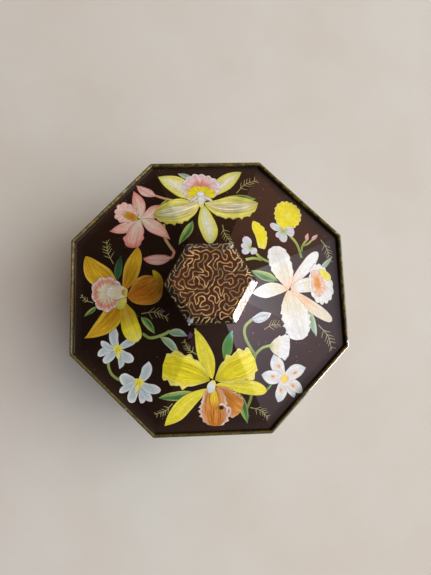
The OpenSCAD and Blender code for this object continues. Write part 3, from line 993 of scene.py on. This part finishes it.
def yellow_violas(motif):
    """Two small flowers, each a scalloped yellow petal over white ones, with a pair of buds."""
    motif.ribbon([46 + 31j, 49.4 + 26j, 51.4 + 18j], 1.5, PALE_GREEN, stem_end)
    motif.ribbon([51.8 + 21.6j, 52.6 + 25j, 56 + 29.4j], 1.1, stem_end, PALE_GREEN)
    motif.ribbon([52.6 + 25j, 56 + 26.4j, 59.6 + 29.6j], 1.1, stem_end, PALE_GREEN)
    bud(motif, 55 + 27.4j, 56.8 + 33j, 2.4, BLUSH, PINK)
    bud(motif, 58 + 28.2j, 62.6 + 32.2j, 2.4, BLUSH, PINK)
    motif.ribbon([25 + 19.6j, 28 + 16.6j, 34 + 14j], 1.5, PALE_GREEN, stem_end)
    motif.ribbon([19.2 + 15.4j, 24 + 16.4j, 28 + 15.6j], 1.5, PALE_GREEN, stem_end)
    frill = Paint(LEMON, YELLOW, YELLOW, rgb(222, 210, 70), edge=LEMON, rim=0.6, veins=0.6)
    white = Paint(PALE_GREEN, ICE, LAVENDER, edge=WHITE, rim=0.8, veins=0.6)
    motif.petal(42.6 + 34j, 45 + 42j, 9, frill, full=0.6, blunt=0.6, neck=0.6)
    motif.disc(45.6 + 43.4j, 7.6, frill, tall=1.12, turn=-8, scallops=17, ruffle=0.09)
    for tip, width in ((-7.6 + 3.6j, 4.4), (-4.6 - 4j, 3.8), (-1 - 7j, 5), (6.4 - 0.4j, 6.4)):
        motif.petal(42.4 + 33.8j, 42.4 + 33.8j + tip, width, white, full=0.62, blunt=0.5)
    motif.petal(28.6 + 22.4j, 25 + 38.8j, 7.2, frill, full=0.55, blunt=0.6, bend=-0.24, ruffle=0.1, waves=6,
                side=-1, neck=0.5)
    for tip, width in ((-3 + 6.4j, 5), (-5.4 + 1j, 4), (-5 - 3.6j, 4), (2.4 - 3.4j, 4.6)):
        motif.petal(22.6 + 22.6j, 22.6 + 22.6j + tip, width, white, full=0.62, blunt=0.5)


MOTIFS = {
    "pink_orchid": pink_orchid,
    "lime_orchid": lime_orchid,
    "golden_orchid": golden_orchid,
    "white_daisies": white_daisies,
    "yellow_orchid": yellow_orchid,
    "white_lilies": white_lilies,
    "yellow_violas": yellow_violas,
    "white_orchid": white_orchid,
}


SIXTHS = [cmath.rect(1, k * math.pi / 3) for k in range(6)]
STEPS = [(1, 0), (0, 1), (-1, 1), (-1, 0), (0, -1), (1, -1)]


def middle_of(cell):
    """A hexagonal cell's middle, where neighbours are 1 apart."""
    return cell[0] + cell[1] * SIXTHS[1]


def beyond(cell, side):
    return cell[0] + STEPS[side][0], cell[1] + STEPS[side][1]


def random_tree(reach, pick):
    """Hexagonal cells within reach, and the sides through which a random tree joins them all. Few cells are
    joined to more than three others, so that the tree winds."""
    span = range(-math.ceil(1.2 * reach), math.ceil(1.2 * reach) + 1)
    cells = [(a, b) for a in span for b in span if abs(middle_of((a, b))) < reach]
    group = {cell: {cell} for cell in cells}
    sides = [(cell, side) for cell in cells for side in range(3) if beyond(cell, side) in group]
    pick.shuffle(sides)
    joined = set()
    for most in (3, 6):
        for cell, side in sides:
            after = beyond(cell, side)
            branches = max(sum((c, k) in joined for k in range(6)) for c in (cell, after))
            if branches >= most or group[cell] is group[after]:
                continue
            group[cell] |= group[after]
            for member in group[after]:
                group[member] = group[cell]
            joined.update({(cell, side), (after, side + 3)})
    return cells, joined


def outline_of(cells, joined, lobe):
    """The closed line round a tree of hexagonal cells, which passes six points in each cell."""
    links = {}
    for cell in cells:
        for k in range(6):
            here, after = (cell, k), (cell, (k + 1) % 6)
            if (cell, k) in joined:
                there = beyond(cell, k)
                links.setdefault(here, []).append((there, (k + 4) % 6))
                links.setdefault(after, []).append((there, (k + 3) % 6))
            else:
                links.setdefault(here, []).append(after)
                links.setdefault(after, []).append(here)
    start = here = (cells[0], 0)
    before, line = None, []
    while here != start or not line:
        cell, k = here
        line.append(middle_of(cell) + cmath.rect(lobe, (k - 0.5) * math.pi / 3))
        before, here = here, [p for p in links[here] if p != before][0]
    return line


def vermicelli(motif, reach, pitch, lobe, width, seed):
    """A fine line that wanders over the knob in round lobes and never crosses itself."""
    pick = random.Random(seed)
    cells, joined = random_tree(reach * 1.25 / pitch, pick)
    line = [p * pitch for p in outline_of(cells, joined, lobe)]
    line = [p + cmath.rect(0.07 * pitch, pick.uniform(0, 2 * math.pi)) for p in line]
    run = []
    for point in spline(line + line[:2], 4):
        if hexagon_apothem(point.real, point.imag) < reach:
            run.append(point)
            continue
        lay(motif, run, width)
        run = []
    lay(motif, run, width)


def lay(motif, run, width):
    """One unbroken stretch of fine line."""
    if len(run) < 4:
        return
    rows = []
    for i, point in enumerate(run):
        heading = run[min(i + 1, len(run) - 1)] - run[max(i - 1, 0)]
        left = 1j * heading / abs(heading)
        rows.append([point + left * width / 2 * j for j in (-1, 1)])
    motif.grid(rows, [[WHITE] * 2] * len(rows), [[(0, 0)] * 2] * len(rows))


# ---------------------------------------------------------------- the tin
ground = ground_material("lid_ground", rgb(50, 32, 21), rgb(32, 24, 18))
crease = ground_material("crease", rgb(54, 34, 24), rgb(36, 26, 20), 1.5, 0.3)
side_ground = ground_material("side_ground", rgb(62, 36, 25), rgb(44, 30, 24), 0.6)
knob_ground = ground_material("knob_ground", rgb(112, 58, 26), rgb(86, 45, 23), 0.4, 0.5)
# The knob's bevels get a darker, duller copy of the knob's brown: painted shade.
knob_bevel_shaded = ground_material("knob_bevel_shaded", rgb(50, 29, 18), rgb(32, 23, 17), 0.4, 0.12)
band = band_material()
line = line_material()
inside = inside_material()
tinplate = tinplate_material()
zinc = zinc_material()
flowers = print_material()
gilt = gilt_material()
bare = chip_and_glint_material()


def shell(node, name, body, path, materials, paint, sides=OCTAGON):
    made = pressed(name, path, materials, paint, sides)
    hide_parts(node)
    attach(made, body)
    return made


def marked(path, marks):
    """Adds points on the long upright of a wall's path, where its print changes."""
    place = max(range(1, len(path)), key=lambda i: abs(path[i] - path[i - 1]))
    going_up = path[place].imag > path[place - 1].imag
    extra = [complex(path[place].real, mark) for mark in sorted(marks, reverse=not going_up)]
    return path[:place] + extra + path[place:]


def between(height, pairs):
    return any(lower < height < upper for lower, upper in pairs)


body_bands = [(SEAM_H + 1.2, SEAM_H + 3.2), (WALL_H - 4.4, WALL_H - 3.4)]
body_marks = [h for pair in body_bands for h in pair]


def paint_body(middle, left):
    if left:
        return 1
    return 2 if between(middle.imag, body_bands) else 0


def paint_skirt(middle, left):
    if not left:
        return 1
    return 2 if between(middle.imag, skirt_bands) else 0


def paint_lid(middle, left):
    if not left:
        return 1
    if middle.real < END_WALL - FOOT_BEND:
        return 0
    if middle.real < END_WALL and middle.imag < RIM_Z - RIM_PRINT:
        return 4
    return 2 if middle.real < END_OUTSIDE - LAYER and middle.imag > RIM_Z - RIM_PRINT else 3


body_path = marked(wall_path(WALL_H), body_marks)
shell("body_wall", "tin_wall", "tin_body", body_path, [side_ground, inside, band],
      paint_body)
lap("tin_wall_lap", SEAM_H, WALL_H - 1.4, side_ground, "tin_body")

curl_up = complex(COLLAR_HIGH, COLLAR_TOP - COLLAR_BEAD - HALF)
collar_path = [complex(COLLAR_LOW, COLLAR_BOTTOM), complex(COLLAR_LOW, WALL_H - 1.2),
               complex(COLLAR_HIGH, WALL_H - 0.2), curl_up] + arc(curl_up, curl_up - 2 * COLLAR_BEAD, 90)
shell("neck_collar", "tin_collar", "tin_body", collar_path, [inside], lambda middle, left: 0)

base_inside = [complex(MIDDLE, BASE_Z + BASE_STEP), complex(BASE_STEP_AT, BASE_Z + BASE_STEP),
               complex(BASE_STEP_AT + BASE_STEP, BASE_Z)]
shell("base_panel", "tin_base", "tin_body", end_path(base_inside, BASE_Z),
      [inside, tinplate], lambda middle, left: 0 if left else 1)

skirt_bands = [(LID_Z + 2.2, LID_Z + 3.4)]
skirt_path = marked(upside_down(wall_path(SKIRT_H), RIM_Z), skirt_bands[0])
shell("lid_skirt", "lid_side", "lid", skirt_path, [side_ground, inside, band], paint_skirt)
lap("lid_side_lap", LID_Z + 1.4, RIM_Z - SEAM_H, side_ground, "lid")

HOLE = 2.15
roof_inside = [complex(HOLE, roof_arc[0].imag)] + roof_arc
shell("lid_panel", "lid_roof", "lid", upside_down(end_path(roof_inside, COUNTERSINK), RIM_Z),
      [ground, inside, band, line, crease], paint_lid)

cap_top = KNOB_Z - HALF
cap_band = complex(CAP_SIDE, CAP_LIP_Z + CAP_CURL)
cap_path = [complex(MIDDLE, cap_top), complex(KNOB_FLAT, cap_top), complex(CAP_SIDE, KNOB_Z - KNOB_BEVEL),
            cap_band]
cap_path += arc(cap_band, complex(CAP_SIDE - CAP_CURL, CAP_LIP_Z), -45, 4) + [complex(CAP_LIP, CAP_LIP_Z)]
# The knob's flat top takes its own brown and its bevels take the darker copy, a painted shade.
shell("knob_cap", "knob_top", "lid", cap_path, [knob_ground, tinplate, knob_bevel_shaded],
      lambda middle, left: (0 if middle.real < KNOB_FLAT else 2) if left else 1, HEXAGON)

flange_z = CAP_LIP_Z + LAYER
neck_path = [complex(HOLE, NECK_Z), complex(NECK_FOOT - NECK_BEND, NECK_Z),
             complex(NECK_FOOT, NECK_Z + NECK_BEND),
             complex(NECK_TOP, flange_z - NECK_BEND), complex(NECK_TOP + NECK_BEND, flange_z),
             complex(NECK_FLANGE, flange_z)]
shell("knob_neck", "knob_stem", "lid", neck_path, [side_ground, tinplate],
      lambda middle, left: 1 if left else 0, HEXAGON)

for node in ("knob_bolt", "knob_washer", "knob_nut"):
    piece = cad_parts[node]
    for place in piece.material_slots:
        place.link = "OBJECT"
        place.material = zinc

for name, draw in MOTIFS.items():
    motif = Print(on_roof)
    draw(motif)
    motif.finish("print_" + name, flowers, "lid")

knob_print = Print(on_knob)
vermicelli(knob_print, KNOB_WIDE - 0.35, 4.5, 0.31, 0.5, 3)
knob_print.finish("print_knob_lines", gilt, "lid")

# Worn places, down to bare metal: on the knob's corners and on the rim. The ones on the knob's corners are
# also a painted highlight: they stand in for glints of light there.
KNOB_GLINTS = [(60, 19.6, 1.1), (0, 19.4, 0.9), (240, 20.2, 1.3), (300, 20.4, 0.8), (121, 18.6, 0.6),
              (66, 15.8, 0.5)]
chips = Print(on_knob)
for angle, away, size in KNOB_GLINTS:
    chips.disc(cmath.rect(away, math.radians(angle)), size, Paint(WHITE, ICE, veins=0), scallops=5,
               ruffle=0.6)
chips.finish("print_knob_glints", bare, "lid")
rim_chips = Print(on_rim)
for angle, length in ((128, 2.6), (233, 1.2), (24, 1.4), (-21, 1.6)):
    middle = cmath.rect((END_WALL + END_OUTSIDE) / 2 / octagon_reach(angle), math.radians(angle))
    along = cmath.rect(length, math.radians(math.floor(angle / 45 + 0.5) * 45 + 90))
    rim_chips.petal(middle - along / 2, middle + along / 2, 0.8, Paint(WHITE, ICE, veins=0), ruffle=0.3)
rim_chips.finish("print_rim_chips", bare, "lid")

# On the body the same motifs are printed upright, one or two on each facet.
# Each row holds the facet, the motif, its middle on the lid, its scale and its shift across the facet.
SIDE_PRINTS = [
    (0, "white_orchid", 45 + 0j, 0.9, 0),
    (1, "lime_orchid", 0 + 47j, 0.94, 0),
    (2, "white_daisies", -35 - 36j, 0.62, -16),
    (2, "yellow_violas", 40 + 33j, 0.66, 16),
    (3, "golden_orchid", -48 + 0j, 0.92, 0),
    (4, "pink_orchid", -36 + 40j, 1.0, 0),
    (5, "white_lilies", 33 - 36j, 1.15, 0),
    (6, "yellow_orchid", 0 - 46j, 0.92, 0),
    (7, "white_daisies", -35 - 34j, 1.1, 0),
]
for facet, name, about, scale, shift in SIDE_PRINTS:
    motif = Print(on_side(facet, WALL_OUT, 0), about, complex(shift, WALL_H / 2 + 1), scale)
    MOTIFS[name](motif)
    motif.finish(f"side_{facet}_{name}", flowers, "tin_body")


# ---------------------------------------------------------------- studio
def table_top(half, material):
    mesh = bpy.data.meshes.new("floor")
    mesh.from_pydata([(-half, -half, 0), (half, -half, 0), (half, half, 0), (-half, half, 0)], [],
                     [(0, 1, 2, 3)])
    mesh.materials.append(material)
    made = bpy.data.objects.new("floor", mesh)
    bpy.context.scene.collection.objects.link(made)


def direction(azimuth, elevation):
    """The unit vector towards a place round the tin, from its angles in degrees."""
    a, e = math.radians(azimuth), math.radians(elevation)
    return (math.cos(a) * math.cos(e), math.sin(a) * math.cos(e), math.sin(e))


def room(lobes, ground_light, backdrop):
    """Soft studio light: bright patches in a dim room. The camera itself sees a plain backdrop."""
    world = bpy.data.worlds.new("room")
    bpy.context.scene.world = world
    world.use_nodes = True
    paint = Nodes(world.node_tree)
    where = paint.node("ShaderNodeTexCoord").outputs["Generated"]
    light = ground_light
    for azimuth, elevation, spread, strength, colour in lobes:
        dot = paint.node("ShaderNodeVectorMath", {0: where, 1: direction(azimuth, elevation)},
                         operation="DOT_PRODUCT")
        off = paint.sums("SUBTRACT", dot.outputs["Value"], 1)
        lobe = paint.sums("EXPONENT", paint.sums("DIVIDE", off, 1 - math.cos(math.radians(spread))), 0)
        bright = tuple(c * strength for c in colour[:3]) + (1,)
        light = paint.mix(1.0, light, paint.mix(lobe, (0, 0, 0, 1), bright), "ADD")
    seen = paint.node("ShaderNodeLightPath").outputs["Is Camera Ray"]
    paint.set(paint.tree.nodes["Background"].inputs["Color"], paint.mix(seen, light, backdrop))


def lamp(name, azimuth, elevation, away, width, height, watts, seen_in="diffuse"):
    """A soft rectangular lamp that faces the tin. It lights matt surfaces or shows in gloss."""
    data = bpy.data.lights.new(name, "AREA")
    data.shape = "RECTANGLE"
    data.size = width
    data.size_y = height
    data.energy = watts
    data.color = rgb(255, 252, 246)[:3]
    made = bpy.data.objects.new(name, data)
    toward = Vector(direction(azimuth, elevation))
    made.location = Vector((0, 0, RIM_Z * MM)) + toward * away
    made.rotation_euler = toward.to_track_quat("Z", "Y").to_euler()
    made.visible_camera = False
    made.visible_glossy = seen_in == "gloss"
    made.visible_diffuse = seen_in == "diffuse"
    bpy.context.scene.collection.objects.link(made)


FLOOR_HALF = 4.0
table_top(FLOOR_HALF, floor_material())

# Patches of light: azimuth, elevation and spread in degrees, strength, colour.
WINDOW = (4, 17, 17, 4.2, rgb(232, 240, 255))
WINDOW_TOP = (2, 56, 23, 1.3, rgb(226, 226, 255))
FAR_WINDOW = (-42, 26, 21, 2.7, rgb(228, 222, 255))
WARM_WALL = (58, 40, 20, 0.9, rgb(255, 176, 128))
GLOW = (0, 50, 50, 0.3, rgb(255, 244, 226))
room([WINDOW, WINDOW_TOP, FAR_WINDOW, WARM_WALL, GLOW], rgb(44, 38, 33), rgb(214, 208, 198))
lamp("daylight", -5, 52, 1.7, 1.6, 1.6, 25)
lamp("low_window", -21, -4, 0.5, 0.34, 0.1, 7.0, "gloss")

LENS, SENSOR = 27.05, 36
NEAREST, FURTHEST = 0.01, 50
VIEWER_AT = (-6.28, -31.38, 233.13)        # millimetres from the middle of the rim
VIEWER_TURNS = (8.431, -2.14, -1.753)      # degrees about X, Y and Z
camera = bpy.data.cameras.new("camera")
camera.lens = LENS
camera.sensor_width = SENSOR
camera.clip_start = NEAREST
camera.clip_end = FURTHEST
viewer = bpy.data.objects.new("camera", camera)
viewer.location = (VIEWER_AT[X] * MM, VIEWER_AT[Y] * MM, (RIM_Z + VIEWER_AT[Z]) * MM)
viewer.rotation_euler = [math.radians(turn) for turn in VIEWER_TURNS]
bpy.context.scene.collection.objects.link(viewer)
bpy.context.scene.camera = viewer
bpy.context.scene.view_settings.view_transform = "Standard"
